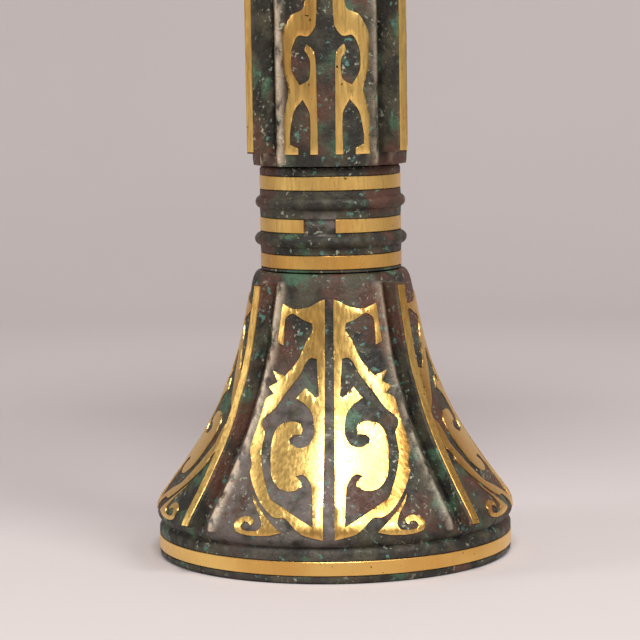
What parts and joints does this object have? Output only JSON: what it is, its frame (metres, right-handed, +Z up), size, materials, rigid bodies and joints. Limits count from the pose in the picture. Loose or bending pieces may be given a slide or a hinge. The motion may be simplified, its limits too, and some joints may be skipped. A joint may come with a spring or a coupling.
{
  "type": "bronze gu vase",
  "caption": "Tall flanged ritual wine vase with a flared foot, ringed neck, belly and trumpet mouth, inlaid with gold bands, dragons and scrolls.",
  "frame": {"origin": "centre of the foot's base ring, on the surface it stands on", "axes": "+Z up along the vase's axis, -Y towards the front panel"},
  "size_m": [0.15, 0.15, 0.28],
  "materials": {
    "bronze": "aged bronze with green, red and pale corrosion",
    "gold": "burnished gold inlay with fine scratches"
  },
  "bodies": {
    "root": {"foot_casting": "bronze", "neck_collar": "bronze", "belly_casting": "bronze", "upper_collar": "bronze", "trumpet_casting": "bronze", "foot_rim_gold_band": "gold", "neck_gold_band_lower": "gold", "neck_gold_band_middle": "gold", "neck_gold_band_upper": "gold", "upper_collar_gold_band": "gold", "foot_flange_gold_front_right": "gold", "belly_flange_gold_front_right": "gold", "foot_flange_gold_back_right": "gold", "belly_flange_gold_back_right": "gold", "foot_flange_gold_back_left": "gold", "belly_flange_gold_back_left": "gold", "foot_flange_gold_front_left": "gold", "belly_flange_gold_front_left": "gold", "foot_dragon_front_left": "gold", "foot_scroll_front_left": "gold", "belly_scroll_front_left": "gold", "foot_dragon_front_right": "gold", "foot_scroll_front_right": "gold", "belly_scroll_front_right": "gold", "foot_dragon_right_left": "gold", "foot_scroll_right_left": "gold", "belly_scroll_right_left": "gold", "foot_dragon_right_right": "gold", "foot_scroll_right_right": "gold", "belly_scroll_right_right": "gold", "foot_dragon_back_left": "gold", "foot_scroll_back_left": "gold", "belly_scroll_back_left": "gold", "foot_dragon_back_right": "gold", "foot_scroll_back_right": "gold", "belly_scroll_back_right": "gold", "foot_dragon_left_left": "gold", "foot_scroll_left_left": "gold", "belly_scroll_left_left": "gold", "foot_dragon_left_right": "gold", "foot_scroll_left_right": "gold", "belly_scroll_left_right": "gold", "trumpet_blade_front": "gold", "trumpet_blade_right": "gold", "trumpet_blade_back": "gold", "trumpet_blade_left": "gold"}
  },
  "joints": []
}
